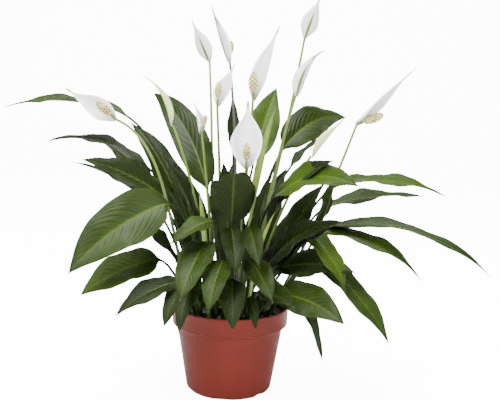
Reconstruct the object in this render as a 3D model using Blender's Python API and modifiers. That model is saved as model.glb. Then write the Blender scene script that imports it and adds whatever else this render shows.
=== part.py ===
"""Potted peace lily: a nursery pot of soil, a clump of leafy shoots and a dozen white blooms.

Run with: blender --background --python part.py
The pot stands on z = 0 with its axis on the z axis. The fullest side of the plant faces -y.
A bearing is an angle round the pot: 0 is +x, 90 is +y (the back), 180 is -x, 270 is -y (the front).
"""

import math

import bmesh
import bpy
from mathutils import Vector

MM = 0.001
GAP = 0.4 * MM
SHARP_ANGLE = 40

# Pot
POT_HEIGHT = 98 * MM
RIM_RADIUS = 65 * MM
COLLAR_DROP = 21 * MM
NECK_RADIUS = 58 * MM
FOOT_RADIUS = 48 * MM
FOOT_ROUND = 8 * MM
POT_WALL = 1.4 * MM
FLOOR = 1.6 * MM
POT_STEPS = 32
DRAIN_SLOTS = 6
DRAIN_WIDTH = 17 * MM
DRAIN_HEIGHT = 4 * MM
FIRST_DRAIN = 263

SLOT_REACH = 12 * MM
SLOT_OVERHANG = 4 * MM

# Soil
SOIL_TOP = 88 * MM
HOLE_DEPTH = 13 * MM
STEM_DEPTH = 12 * MM
ROOT_RISE = 2 * MM

# Shoots
SHEATH_RADIUS = 4.4 * MM
SHEATH_RISE = 9 * MM
SHEATH_TAPER = 0.8
SHEATH_SIDES = 6
LEAF_START = 3 * MM
LEAF_OFFSET = 1.2 * MM
STALK_RADIUS = 1.7 * MM
STALK_END_RADIUS = 1.3 * MM
BLADE_THICKNESS = 0.8 * MM
MIDRIB_DEPTH = 1.1 * MM
STALK_ROWS = 2
LONG_BLADE = 90
LONG_BLADE_ROWS = 7
SHORT_BLADE_ROWS = 5
LEAF_COLUMNS = 4
LEAF_FOLD = 22
LEAF_ARCH = 0.42
MARGIN_WAVE = 0.16
WAVES = 12.5
STALK_WRAP = 75
BLADE_OPENING = 0.12
BEND_POWER = 1.8
NOD_LENGTH = 0.16
SPINE_STEPS = 60

# Blooms
SCAPE_RADIUS = 1.9 * MM
SCAPE_TOP_RADIUS = 1.3 * MM
SCAPE_POINTS = 7
STIPE_LENGTH = 8 * MM
SPATHE_THICKNESS = 0.8 * MM
SPATHE_COLUMNS = 4
SPATHE_ROWS = 7
SPATHE_WRAP = 72
SPATHE_TIP = 0.7 * MM
TAIL_START = 0.84
TAIL_WIDTH = 0.24
SPATHE_OPENING = 0.3
SPIKE_LEAN = 0.45
SPADIX_SIDES = 8
SPADIX_RINGS = 6
SPADIX_GIRTH = 0.23
SPADIX_BLUNTNESS = 0.42
FLORET_RELIEF = 0.09

# Rolled leaves
ROLLED_POINTS = 10
ROLLED_RADIUS = 2 * MM
ROLLED_START = 0.45

# Each shoot: root distance (mm) and root bearing, then its leaves.
# A leaf: bearing, rise, droop and nod (degrees), stalk, blade and width (mm), roll (degrees).
SHOOTS = {
    "shoot_left_high": (22, 180, [
        (182, 78, 68, 28, 235, 140, 30, -8),
        (183, 80, 98, 0, 178, 118, 31, -5),
    ]),
    "shoot_left_mid": (36, 188, [
        (196, 79, 36, 30, 132, 103, 37, -42),
        (180, 74, 50, 14, 118, 112, 24, 0),
    ]),
    "shoot_left_back": (34, 152, [
        (161, 72, 55, 0, 145, 98, 27, -20),
        (144, 76, 44, 0, 95, 140, 36, -25),
        (140, 80, 20, 0, 40, 130, 40, -40),
    ]),
    "shoot_back_left": (22, 122, [
        (129, 84, 72, 0, 130, 160, 40, -38),
        (84, 82, 40, 10, 42, 140, 24, 0),
    ]),
    "shoot_left_broad": (16, 222, [
        (210, 72, 50, 72, 140, 138, 56, -58),
        (200, 78, 25, 0, 95, 100, 30, -35),
    ]),
    "shoot_left_low": (40, 204, [
        (204, 62, 40, 60, 75, 98, 40, -38),
        (208, 72, 30, 10, 60, 82, 27, -30),
    ]),
    "shoot_front_left": (44, 230, [
        (216, 62, 40, 60, 52, 86, 30, -25),
        (236, 66, 40, 90, 55, 60, 24, -15),
    ]),
    "shoot_front_left_drape": (38, 243, [
        (246, 70, 50, 95, 75, 80, 25, 0),
        (250, 84, 40, 95, 92, 88, 37, 0),
    ]),
    "shoot_front_inner": (29, 258, [
        (232, 86, 30, 80, 112, 70, 27, -10),
        (280, 86, 60, 90, 112, 60, 25, 0),
    ]),
    "shoot_front": (44, 270, [
        (256, 76, 50, 85, 80, 70, 28, 0),
        (274, 72, 50, 95, 60, 60, 27, 0),
    ]),
    "shoot_front_right_inner": (34, 288, [
        (290, 76, 30, 80, 75, 80, 27, 20),
        (284, 84, 40, 90, 112, 64, 21, 20),
        (316, 82, 20, 0, 55, 130, 36, 25),
    ]),
    "shoot_front_high": (20, 268, [
        (272, 85, 74, 0, 108, 110, 48, 0),
        (250, 87, 16, 0, 46, 130, 40, 0),
    ]),
    "shoot_front_right_low": (47, 292, [
        (302, 64, 30, 50, 45, 68, 31, 25),
        (282, 66, 50, 80, 38, 42, 13, 0),
    ]),
    "shoot_right_low": (44, 312, [
        (316, 54, 40, 42, 42, 98, 40, 42),
        (324, 52, 36, 94, 62, 88, 17, 0),
    ]),
    "shoot_right_mid": (36, 324, [
        (330, 72, 40, 45, 60, 95, 35, 48),
        (321, 72, 30, 20, 62, 108, 36, 45),
        (326, 74, 70, 75, 118, 84, 28, 20),
    ]),
    "shoot_right_inner": (20, 322, [
        (318, 86, 92, 14, 140, 122, 38, 42),
        (321, 80, 60, 0, 95, 130, 39, 42),
        (318, 70, 50, 10, 45, 130, 42, 45),
    ]),
    "shoot_right_long": (28, 342, [
        (344, 61, 70, 35, 122, 198, 27, 10),
        (340, 66, 75, 40, 112, 138, 30, 15),
    ]),
    "shoot_right_outer": (42, 344, [
        (330, 56, 40, 75, 88, 122, 31, 20),
        (354, 58, -25, 0, 108, 75, 27, 20),
    ]),
    "shoot_right_upper": (28, 8, [
        (2, 68, 58, 35, 165, 130, 32, 12),
        (14, 62, 35, 35, 134, 126, 32, 10),
        (354, 71, 20, 0, 36, 130, 40, 50),
    ]),
    "shoot_back_right": (24, 46, [
        (47, 86, 90, 10, 185, 125, 41, 45),
        (27, 84, 54, 0, 168, 50, 17, 0),
        (57, 76, 40, 0, 34, 140, 42, 0),
    ]),
    "shoot_back_high": (20, 84, [
        (62, 81, 34, 0, 166, 98, 38, 30),
        (100, 86, 12, 0, 175, 62, 17, 20),
    ]),
}

# Each rolled leaf: root distance and bearing, its bearing, rise, droop and length, and its thickest radius.
ROLLED_LEAVES = {
    "rolled_leaf_back": (30, 62, 5, 88, 16, 232, 4.6),
    "rolled_leaf_front_left": (30, 222, 250, 80, 12, 150, 3.2),
    "rolled_leaf_front_right": (36, 300, 300, 78, 30, 140, 2.6),
}

# Each bloom: its scape (root distance, root bearing, bearing, rise, droop, length, bend),
# its spathe (bearing, rise, droop, length, width, roll, cup) and its spadix length (0 while closed).
BLOOMS = {
    "far_left": ((52, 215, 198, 78, 56, 240, 5), (192, 30, -8, 62, 27, -60, 48), 22),
    "left_closed": ((20, 153, 148, 78, 15, 212, 2), (176, 78, 52, 68, 18, 0, 155), 0),
    "left_back": ((34, 128, 100, 82, 17, 282, 2), (180, 66, 0, 52, 21, 75, 45), 22),
    "centre_dark": ((10, 60, 116, 89, 15, 278, 2), (185, 71, -4, 66, 22, 25, 70), 15),
    "centre_left": ((9, 200, 236, 86, 2, 232, 2), (30, 68, 0, 50, 24, 20, 45), 18),
    "centre_small": ((24, 230, 232, 83, 4, 206, 2), (140, 80, 20, 34, 16, 0, 115), 12),
    "tall": ((6, 25, 34, 86, 0, 236, 2), (22, 74, 8, 88, 26, 30, 52), 24),
    "front": ((21, 295, 276, 83, 27, 180, 2), (90, 74, 10, 74, 38, 0, 58), 19),
    "right_back": ((17, 29, 29, 76, -4, 312, 2), (350, 72, 4, 50, 21, -75, 42), 22),
    "right_curled": ((20, 14, 20, 81, 8, 246, 2), (15, 78, 55, 62, 22, -90, 95), 14),
    "far_right": ((46, 356, 359, 66, -6, 230, 2), (2, 46, 6, 88, 26, 150, 45), 23),
    "right_closed": ((17, 345, 352, 74, 14, 192, 2), (350, 55, 5, 58, 21, 0, 150), 0),
}


def clear_scene():
    for obj in list(bpy.data.objects):
        bpy.data.objects.remove(obj, do_unlink=True)


def new_collection(name):
    made = bpy.data.collections.new(name)
    bpy.context.scene.collection.children.link(made)
    return made


def material(name, colour, roughness):
    made = bpy.data.materials.new(name)
    made.use_nodes = True
    shader = made.node_tree.nodes["Principled BSDF"]
    shader.inputs["Base Color"].default_value = (*colour, 1)
    shader.inputs["Roughness"].default_value = roughness
    shader.inputs["Metallic"].default_value = 0
    made.diffuse_color = (*colour, 1)
    return made


def mesh_object(name, bm, collection):
    mesh = bpy.data.meshes.new(name)
    bm.to_mesh(mesh)
    bm.free()
    obj = bpy.data.objects.new(name, mesh)
    collection.objects.link(obj)
    return obj


def finish(obj, paint):
    """Smooth shading that keeps true corners sharp, and the material."""
    obj.data.shade_smooth()
    obj.data.set_sharp_from_angle(angle=math.radians(SHARP_ANGLE))
    obj.data.materials.append(paint)


def apply_modifiers(obj):
    graph = bpy.context.evaluated_depsgraph_get()
    obj.data = bpy.data.meshes.new_from_object(obj.evaluated_get(graph))
    obj.modifiers.clear()


def heading(bearing):
    angle = math.radians(bearing)
    return Vector((math.cos(angle), math.sin(angle), 0))


def place(distance, bearing, height):
    return heading(bearing) * distance + Vector((0, 0, height))


def smooth(x):
    x = min(max(x, 0), 1)
    return x * x * (3 - 2 * x)


class Spine:
    """A stalk's curve: it sets off at an angle above level and bends down along its length."""

    def __init__(self, start, bearing, rise, droop, length, bend=BEND_POWER, nod=0, neck=1):
        self.bearing, self.rise, self.droop = bearing, rise, droop
        self.bend, self.nod, self.neck = bend, nod, neck
        step = length / SPINE_STEPS
        self.points = [Vector(start)]
        for i in range(SPINE_STEPS):
            self.points.append(self.points[-1] + self.along((i + 0.5) / SPINE_STEPS) * step)

    def along(self, s):
        nod = self.nod * smooth((s - self.neck) / NOD_LENGTH + 0.5)
        slope = math.radians(self.rise - self.droop * s**self.bend - nod)
        return heading(self.bearing) * math.cos(slope) + Vector((0, 0, math.sin(slope)))

    def at(self, s):
        """Point, direction, side and upper-face directions at a share s of the length."""
        x = min(max(s, 0), 1) * SPINE_STEPS
        i = min(int(x), SPINE_STEPS - 1)
        point = self.points[i].lerp(self.points[i + 1], x - i)
        along = self.along(s)
        level = heading(self.bearing)
        side = Vector((-level.y, level.x, 0))
        side = (side - along * side.dot(along)).normalized()
        return point, along, side, along.cross(side)


def slab(columns, rows):
    """A flat closed sheet: x is -1 to 1 across, y is 0 to 1 along, z is -1 (under) or 1 (upper).

    Its faces are turned round, because (side, along, up) of a spine is a mirrored set of axes.
    """
    bm = bmesh.new()
    bmesh.ops.create_grid(bm, x_segments=columns, y_segments=rows, size=1)
    bmesh.ops.triangulate(bm, faces=bm.faces[:], quad_method="FIXED")
    bmesh.ops.solidify(bm, geom=bm.faces[:], thickness=1)
    middle = sum(vert.co.z for vert in bm.verts) / len(bm.verts)
    for vert in bm.verts:
        vert.co = (vert.co.x, (vert.co.y + 1) / 2, 1 if vert.co.z > middle else -1)
    bmesh.ops.recalc_face_normals(bm, faces=bm.faces[:])
    bmesh.ops.reverse_faces(bm, faces=bm.faces[:])
    return bm


def blade_outline(v):
    """Share of a leaf's full half width at a share v of its blade: broad at two fifths, tip drawn out."""
    return 3.33 * max(v, 0) ** 0.7 * max(1 - v, 0) ** 1.1


def turned(side, up, roll):
    angle = math.radians(roll)
    return side * math.cos(angle) + up * math.sin(angle), up * math.cos(angle) - side * math.sin(angle)


def leaf_mesh(start, leaf, seed):
    """One closed leaf: a round stalk that opens into a folded, arched blade with waved margins."""
    bearing, rise, droop, nod, stalk, blade, width, roll = leaf
    length = (stalk + blade) * MM
    neck = stalk / (stalk + blade)
    half_width = width / 2 * MM
    spine = Spine(start, bearing, rise, droop, length, nod=nod, neck=neck)
    fold = math.sin(math.radians(LEAF_FOLD))
    blade_rows = LONG_BLADE_ROWS if blade >= LONG_BLADE else SHORT_BLADE_ROWS
    bm = slab(LEAF_COLUMNS, STALK_ROWS + blade_rows)
    for vert in bm.verts:
        u, along, layer = vert.co
        row = along * (STALK_ROWS + blade_rows)
        v = (row - STALK_ROWS) / blade_rows
        s = neck * row / STALK_ROWS if v < 0 else neck + (1 - neck) * v
        radius = STALK_RADIUS + (STALK_END_RADIUS - STALK_RADIUS) * min(s / neck, 1)
        half = max(half_width * blade_outline(v), radius * (1 - 0.5 * smooth(v)))
        phase = seed + (1.9 if u > 0 else 0)
        wave = MARGIN_WAVE * half * abs(u) ** 2.5 * math.sin(WAVES * v + phase)
        rib = MIDRIB_DEPTH * (1 - v) if layer < 0 and abs(u) < 0.1 else 0
        arch = half * fold * (abs(u) - LEAF_ARCH * u * u)
        flat_height = arch + wave + layer * BLADE_THICKNESS / 2 - rib
        round_angle = math.radians(STALK_WRAP) * u
        flat = smooth(v / BLADE_OPENING)
        x = half * u * flat + radius * math.sin(round_angle) * (1 - flat)
        z = flat_height * flat + layer * radius * math.cos(round_angle) * (1 - flat)
        centre, _, side, up = spine.at(s)
        side, up = turned(side, up, roll * smooth(s / neck))
        vert.co = centre + side * x + up * z
    return bm


def build_shoot(name, shoot, seed, collection, paint):
    """A sheath in the soil with its leaves, fused into one body."""
    distance, bearing, leaves = shoot
    root = place(distance * MM, bearing, SOIL_TOP)
    bm = bmesh.new()
    bmesh.ops.create_cone(bm, cap_ends=True, segments=SHEATH_SIDES, radius1=SHEATH_RADIUS,
                          radius2=SHEATH_RADIUS * SHEATH_TAPER, depth=STEM_DEPTH + SHEATH_RISE)
    middle = root + Vector((0, 0, (SHEATH_RISE - STEM_DEPTH) / 2))
    bmesh.ops.translate(bm, verts=bm.verts[:], vec=middle)
    shoot_object = mesh_object(name, bm, collection)
    loose = new_collection(name + "_leaves")
    for i, leaf in enumerate(leaves):
        start = root + heading(leaf[0]) * LEAF_OFFSET + Vector((0, 0, LEAF_START))
        mesh_object(f"{name}_leaf_{i}", leaf_mesh(start, leaf, seed + 2.1 * i), loose)
    join = shoot_object.modifiers.new("Join leaves", "BOOLEAN")
    join.operation = "UNION"
    join.operand_type = "COLLECTION"
    join.collection = loose
    apply_modifiers(shoot_object)
    for obj in list(loose.objects):
        bpy.data.objects.remove(obj, do_unlink=True)
    bpy.data.collections.remove(loose)
    finish(shoot_object, paint)


def turned_body(name, profile, collection):
    """Turn a profile of (radius, height) points round the z axis; both ends lie on the axis."""
    mesh = bpy.data.meshes.new(name)
    mesh.from_pydata([(x, 0, z) for x, z in profile], [(i, i + 1) for i in range(len(profile) - 1)], [])
    obj = bpy.data.objects.new(name, mesh)
    collection.objects.link(obj)
    turn = obj.modifiers.new("Turn", "SCREW")
    turn.steps = turn.render_steps = POT_STEPS
    turn.use_merge_vertices = True
    turn.merge_threshold = 0.00005
    apply_modifiers(obj)
    return obj


def arc(centre_x, centre_z, radius, first, last, count):
    angles = [math.radians(first + (last - first) * i / count) for i in range(count + 1)]
    return [(centre_x + radius * math.cos(a), centre_z + radius * math.sin(a)) for a in angles]


def pot_outside():
    """The pot's outer side, rim to foot."""
    collar_base = POT_HEIGHT - COLLAR_DROP
    foot = arc(FOOT_RADIUS - FOOT_ROUND, FOOT_ROUND, FOOT_ROUND, -8, -90, 3)
    return [
        (RIM_RADIUS, POT_HEIGHT - 1 * MM),
        (RIM_RADIUS - 0.4 * MM, collar_base + 2 * MM),
        (RIM_RADIUS - 1.6 * MM, collar_base),
        (NECK_RADIUS, collar_base - 6 * MM),
    ] + foot


def pot_inside(clear):
    """The pot's inner side, floor to rim, drawn in by a clearance."""
    collar_base = POT_HEIGHT - COLLAR_DROP
    inset = POT_WALL + clear
    return [
        (FOOT_RADIUS - FOOT_ROUND + 1 * MM, FLOOR + clear),
        (FOOT_RADIUS - inset, FOOT_ROUND),
        (NECK_RADIUS - inset, collar_base - 6 * MM + clear),
        (RIM_RADIUS - 1.4 * MM - inset, collar_base + 2 * MM + clear),
        (RIM_RADIUS - inset, POT_HEIGHT - 1 * MM),
    ]


def build_pot(collection, cutters, paint):
    """A thin tapered pot with a collar under its rim and drain slots in its foot."""
    rim_edge = 0.4 * MM
    rim = [(RIM_RADIUS - POT_WALL + rim_edge, POT_HEIGHT), (RIM_RADIUS - rim_edge, POT_HEIGHT)]
    profile = [(0, FLOOR)] + pot_inside(0) + rim + pot_outside() + [(0, 0)]
    pot = turned_body("pot", profile, collection)
    finish(pot, paint)
    for i in range(DRAIN_SLOTS):
        bearing = FIRST_DRAIN + i * 360 / DRAIN_SLOTS
        bm = bmesh.new()
        bmesh.ops.create_cube(bm, size=1)
        cutter = mesh_object(f"drain_slot_{i}", bm, cutters)
        cutter.scale = (SLOT_REACH, DRAIN_WIDTH, 2 * DRAIN_HEIGHT)
        cutter.location = place(FOOT_RADIUS - SLOT_REACH / 2 + SLOT_OVERHANG, bearing, 0)
        cutter.rotation_euler.z = math.radians(bearing)
        cutter.hide_render = True
        cutter.display_type = "WIRE"
    cut = pot.modifiers.new("Drain slots", "BOOLEAN")
    cut.operation = "DIFFERENCE"
    cut.operand_type = "COLLECTION"
    cut.collection = cutters


def build_soil(stem_holes, collection, paint):
    """The soil fills the pot; every stem has its own plain hole, six-sided and clear of the stem."""
    wall = [point for point in pot_inside(GAP) if point[1] < SOIL_TOP - 3 * MM]
    edge = wall[-1][0] + 0.3 * MM
    profile = [(0, SOIL_TOP), (edge - 5 * MM, SOIL_TOP), (edge, SOIL_TOP - 1.5 * MM)] + wall[::-1]
    profile.append((0, wall[0][1]))
    soil = turned_body("soil", profile, collection)
    holes = new_collection("stem_holes")
    for i, (centre, stem_radius) in enumerate(stem_holes):
        radius = (stem_radius + GAP) / math.cos(math.pi / SHEATH_SIDES)
        bm = bmesh.new()
        bmesh.ops.create_cone(bm, cap_ends=True, segments=SHEATH_SIDES, radius1=radius, radius2=radius,
                              depth=2 * HOLE_DEPTH)
        bmesh.ops.translate(bm, verts=bm.verts[:], vec=centre)
        mesh_object(f"stem_hole_{i}", bm, holes)
    cut = soil.modifiers.new("Stem holes", "BOOLEAN")
    cut.operation = "DIFFERENCE"
    cut.operand_type = "COLLECTION"
    cut.collection = holes
    apply_modifiers(soil)
    for obj in list(holes.objects):
        bpy.data.objects.remove(obj, do_unlink=True)
    bpy.data.collections.remove(holes)
    finish(soil, paint)


def tube(name, points, radii, collection, paint):
    """A tapered round stem along a list of points."""
    curve = bpy.data.curves.new(name, "CURVE")
    curve.dimensions = "3D"
    curve.bevel_depth = 1
    curve.bevel_resolution = 1
    curve.use_fill_caps = True
    spline = curve.splines.new("POLY")
    spline.points.add(len(points) - 1)
    for control, point, radius in zip(spline.points, points, radii):
        control.co = (*point, 1)
        control.radius = radius
    obj = bpy.data.objects.new(name, curve)
    collection.objects.link(obj)
    curve.materials.append(paint)


def rooted(spine, count):
    """Points of a stem that starts upright in the soil and then follows a spine."""
    below = spine.points[0] - Vector((0, 0, STEM_DEPTH + ROOT_RISE))
    return [below] + [spine.at(i / (count - 2))[0] for i in range(count - 1)]


def build_rolled_leaf(name, leaf, collection, paint):
    """A young leaf still rolled into a spindle on its stalk."""
    distance, root_bearing, bearing, rise, droop, length, thickest = leaf
    root = place(distance * MM, root_bearing, SOIL_TOP + ROOT_RISE)
    spine = Spine(root, bearing, rise, droop, length * MM)
    radii = [ROLLED_RADIUS]
    for i in range(ROLLED_POINTS - 1):
        s = i / (ROLLED_POINTS - 2)
        swell = math.sin(math.pi * max(s - ROLLED_START, 0) / (1 - ROLLED_START))
        stalk = ROLLED_RADIUS * (1 - 0.8 * s**4)
        radii.append(stalk + (thickest * MM - ROLLED_RADIUS) * max(swell, 0) ** 0.8)
    tube(name, rooted(spine, ROLLED_POINTS), radii, collection, paint)


class Bloom:
    """Where a bloom's pieces meet: the scape's end, the spathe's axis and face, and the spadix's axis."""

    def __init__(self, scape, spathe):
        distance, root_bearing, bearing, rise, droop, length, bend = scape
        root = place(distance * MM, root_bearing, SOIL_TOP + ROOT_RISE)
        self.scape = Spine(root, bearing, rise, droop, length * MM, bend=bend)
        self.end = self.scape.points[-1]
        self.bearing, self.rise, self.droop, length, width, self.roll, self.cup = spathe
        self.length = length * MM
        self.half_width = width / 2 * MM
        _, axis, side, up = Spine((0, 0, 0), self.bearing, self.rise, self.droop, self.length).at(0)
        self.axis = axis
        self.face = turned(side, up, self.roll)[1]
        self.spike = (axis + self.face * SPIKE_LEAN).normalized()


def build_scape(name, bloom, is_open, collection, paint):
    """A bloom's stalk; under an open bloom it runs on as a short stipe to the spadix."""
    points = rooted(bloom.scape, SCAPE_POINTS)
    tips = [bloom.end + bloom.spike * STIPE_LENGTH] if is_open else []
    radii = [SCAPE_RADIUS]
    for i in range(SCAPE_POINTS - 1):
        radii.append(SCAPE_RADIUS + (SCAPE_TOP_RADIUS - SCAPE_RADIUS) * i / (SCAPE_POINTS - 2))
    radii += [SCAPE_TOP_RADIUS] * len(tips)
    tube(name, points + tips, radii, collection, paint)


def spathe_outline(v):
    """Share of a spathe's full half width: a rounded body that ends in a fine tail."""
    body = math.sin(math.pi * min(v / TAIL_START, 1) ** 0.75)
    return max(body, 0) ** (0.85 + 0.5 * v) + TAIL_WIDTH * v**4 * min((1 - v) / (1 - TAIL_START), 1)


def build_spathe(name, bloom, collection, paint):
    """A white bract: a thin shell curved round its spadix, starting behind the scape."""
    wrap = SCAPE_TOP_RADIUS + SPATHE_THICKNESS / 2 + 2 * GAP
    start = bloom.end - bloom.face * wrap
    spine = Spine(start, bloom.bearing, bloom.rise, bloom.droop, bloom.length)
    bm = slab(SPATHE_COLUMNS, SPATHE_ROWS)
    for vert in bm.verts:
        u, v, layer = vert.co
        clasp = math.radians(SPATHE_WRAP) * wrap * (1 - v)
        half = max(bloom.half_width * spathe_outline(v), clasp, SPATHE_TIP)
        margin = SPATHE_WRAP + (bloom.cup - SPATHE_WRAP) * smooth(v / SPATHE_OPENING)
        curl = math.radians(margin) / half
        angle = curl * half * u
        reach = 1 / curl - layer * SPATHE_THICKNESS / 2
        centre, _, side, up = spine.at(v)
        side, up = turned(side, up, bloom.roll)
        vert.co = centre + side * reach * math.sin(angle) + up * (1 / curl - reach * math.cos(angle))
    finish(mesh_object(name, bm, collection), paint)


def build_spadix(name, bloom, length, collection, paint):
    """A blunt spike covered in raised florets."""
    radius = length * MM * SPADIX_GIRTH
    bm = bmesh.new()
    bmesh.ops.create_uvsphere(bm, u_segments=SPADIX_SIDES, v_segments=SPADIX_RINGS, radius=1)
    bmesh.ops.recalc_face_normals(bm, faces=bm.faces[:])
    base = bloom.end + bloom.spike * (STIPE_LENGTH + GAP)
    side = bloom.spike.orthogonal().normalized()
    other = bloom.spike.cross(side)
    for vert in bm.verts:
        x, y, z = vert.co
        polar = math.acos(max(-1, min(1, z)))
        round_angle = math.atan2(y, x)
        floret = math.cos(SPADIX_SIDES / 2 * round_angle) * math.cos(SPADIX_RINGS * polar)
        girth = radius * math.sin(polar) ** SPADIX_BLUNTNESS * (1 + FLORET_RELIEF * floret)
        height = length * MM * (1 - polar / math.pi)
        outward = side * math.cos(round_angle) + other * math.sin(round_angle)
        vert.co = base + bloom.spike * height + outward * girth
    finish(mesh_object(name, bm, collection), paint)


def main():
    clear_scene()
    plant = new_collection("potted_peace_lily")
    cutters = new_collection("cutters")
    leaf_green = material("leaf_green", (0.03, 0.10, 0.02), 0.35)
    young_leaf = material("young_leaf", (0.30, 0.45, 0.12), 0.45)
    scape_green = material("scape_green", (0.16, 0.28, 0.06), 0.45)
    scape_dark = material("scape_dark", (0.05, 0.09, 0.05), 0.45)
    spathe_white = material("spathe_white", (0.85, 0.85, 0.84), 0.5)
    spathe_young = material("spathe_young", (0.62, 0.70, 0.52), 0.5)
    spadix_cream = material("spadix_cream", (0.72, 0.64, 0.42), 0.6)
    build_pot(plant, cutters, material("pot_plastic", (0.30, 0.075, 0.05), 0.45))
    stem_holes = []
    for i, (name, shoot) in enumerate(SHOOTS.items()):
        build_shoot(name, shoot, 1.3 * i, plant, leaf_green)
        stem_holes.append((place(shoot[0] * MM, shoot[1], SOIL_TOP), SHEATH_RADIUS))
    for name, leaf in ROLLED_LEAVES.items():
        build_rolled_leaf(name, leaf, plant, young_leaf)
        stem_holes.append((place(leaf[0] * MM, leaf[1], SOIL_TOP), ROLLED_RADIUS))
    for name, (scape, spathe, spadix) in BLOOMS.items():
        bloom = Bloom(scape, spathe)
        dark = name == "centre_dark"
        build_scape(f"scape_{name}", bloom, spadix > 0, plant, scape_dark if dark else scape_green)
        build_spathe(f"spathe_{name}", bloom, plant, spathe_white if spadix else spathe_young)
        if spadix:
            build_spadix(f"spadix_{name}", bloom, spadix, plant, spadix_cream)
        stem_holes.append((place(scape[0] * MM, scape[1], SOIL_TOP), SCAPE_RADIUS))
    build_soil(stem_holes, plant, material("soil", (0.015, 0.011, 0.008), 0.95))


main()
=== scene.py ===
import math

import bmesh
import bpy
import numpy as np
from mathutils import Matrix, Vector, noise


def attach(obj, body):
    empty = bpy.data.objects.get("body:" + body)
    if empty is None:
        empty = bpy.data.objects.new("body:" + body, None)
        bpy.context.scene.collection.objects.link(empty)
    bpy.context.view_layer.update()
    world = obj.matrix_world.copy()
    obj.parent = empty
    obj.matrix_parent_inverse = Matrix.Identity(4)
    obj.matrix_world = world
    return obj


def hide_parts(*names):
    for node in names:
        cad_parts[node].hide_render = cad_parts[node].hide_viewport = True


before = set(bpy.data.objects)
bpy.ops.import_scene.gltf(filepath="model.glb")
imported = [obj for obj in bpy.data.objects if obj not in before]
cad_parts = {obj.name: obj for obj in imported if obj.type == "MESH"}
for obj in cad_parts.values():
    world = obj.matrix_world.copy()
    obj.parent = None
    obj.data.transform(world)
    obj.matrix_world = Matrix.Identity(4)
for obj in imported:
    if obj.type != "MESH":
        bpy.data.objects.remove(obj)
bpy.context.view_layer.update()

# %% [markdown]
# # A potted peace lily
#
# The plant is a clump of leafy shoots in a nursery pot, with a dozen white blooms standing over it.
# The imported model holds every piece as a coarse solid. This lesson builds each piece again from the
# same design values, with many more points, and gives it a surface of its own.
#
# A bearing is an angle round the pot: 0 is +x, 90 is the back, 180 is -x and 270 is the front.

MM = 0.001
SOIL_TOP = 88 * MM
STEM_DEPTH = 12 * MM
ROOT_RISE = 2 * MM
SPINE_STEPS = 120
NOD_LENGTH = 0.16

# %% [markdown]
# ## The curve that everything grows along
#
# Stalks, leaves and blooms all follow the same kind of curve. It sets off at an angle above level,
# droops more and more towards its end, and may nod sharply where a stalk turns into a blade. Three
# directions go with every point: along the curve, sideways, and up out of the leaf's face.

# %% Spine


def heading(bearing):
    angle = math.radians(bearing)
    return np.array((math.cos(angle), math.sin(angle), 0))


def place(distance, bearing, height):
    return heading(bearing) * distance * MM + np.array((0, 0, height))


def smooth(x):
    x = np.clip(x, 0, 1)
    return x * x * (3 - 2 * x)


class Spine:
    """A curve that bends down along its length, as stacks of points and directions."""

    def __init__(self, start, bearing, rise, droop, length, bend=1.8, nod=0, neck=1):
        self.bearing, self.rise, self.droop = bearing, rise, droop
        self.bend, self.nod, self.neck = bend, nod, neck
        middles = (np.arange(SPINE_STEPS) + 0.5) / SPINE_STEPS
        steps = self.along(middles) * length / SPINE_STEPS
        self.points = np.vstack([start, start + np.cumsum(steps, axis=0)])

    def along(self, s):
        nod = self.nod * smooth((s - self.neck) / NOD_LENGTH + 0.5)
        slope = np.radians(self.rise - self.droop * s**self.bend - nod)[:, None]
        return heading(self.bearing) * np.cos(slope) + np.array((0, 0, 1)) * np.sin(slope)

    def at(self, s):
        s = np.clip(s, 0, 1)
        grid = np.linspace(0, 1, SPINE_STEPS + 1)
        point = np.stack([np.interp(s, grid, self.points[:, k]) for k in range(3)], axis=1)
        along = self.along(s)
        side = np.broadcast_to(heading(self.bearing + 90), along.shape)
        return point, along, side, np.cross(along, side)


def turned(side, up, degrees):
    """Side and up directions rolled about the curve by an angle for each point."""
    angle = np.broadcast_to(np.radians(degrees), len(side))[:, None]
    return side * np.cos(angle) + up * np.sin(angle), up * np.cos(angle) - side * np.sin(angle)


def square_to(axis, guide):
    """Two directions at right angles to an axis and to each other."""
    side = np.cross(axis, guide)
    side /= np.linalg.norm(side)
    return side, np.cross(axis, side)


print("spine of", SPINE_STEPS, "steps")

# %% [markdown]
# ## Three plain starting shapes
#
# A leaf or a bract starts as a flat sheet with two faces and a closed edge. A stem starts as a
# straight tube. A spadix starts as a ball. Blender makes each of them, and the numbers of its points
# are read once. Every real piece then moves those points by a formula, so all its edges stay closed.

# %% Sheet, tube and ball


def read_shape(bm):
    points = np.array([vert.co for vert in bm.verts])
    faces = [[vert.index for vert in face.verts] for face in bm.faces]
    bm.free()
    return points, faces


def sheet(columns, rows):
    """Across is -1 to 1, along is 0 to 1, and the third number is -1 under and 1 above.

    Laying a sheet along a spine mirrors it, so its faces are reversed here to end up facing outwards.
    """
    bm = bmesh.new()
    bmesh.ops.create_grid(bm, x_segments=columns, y_segments=rows, size=1)
    bmesh.ops.solidify(bm, geom=bm.faces[:], thickness=1)
    middle = sum(vert.co.z for vert in bm.verts) / len(bm.verts)
    for vert in bm.verts:
        vert.co = (vert.co.x, (vert.co.y + 1) / 2, 1 if vert.co.z > middle else -1)
    bmesh.ops.recalc_face_normals(bm, faces=bm.faces[:])
    bmesh.ops.reverse_faces(bm, faces=bm.faces[:])
    return read_shape(bm)


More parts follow.
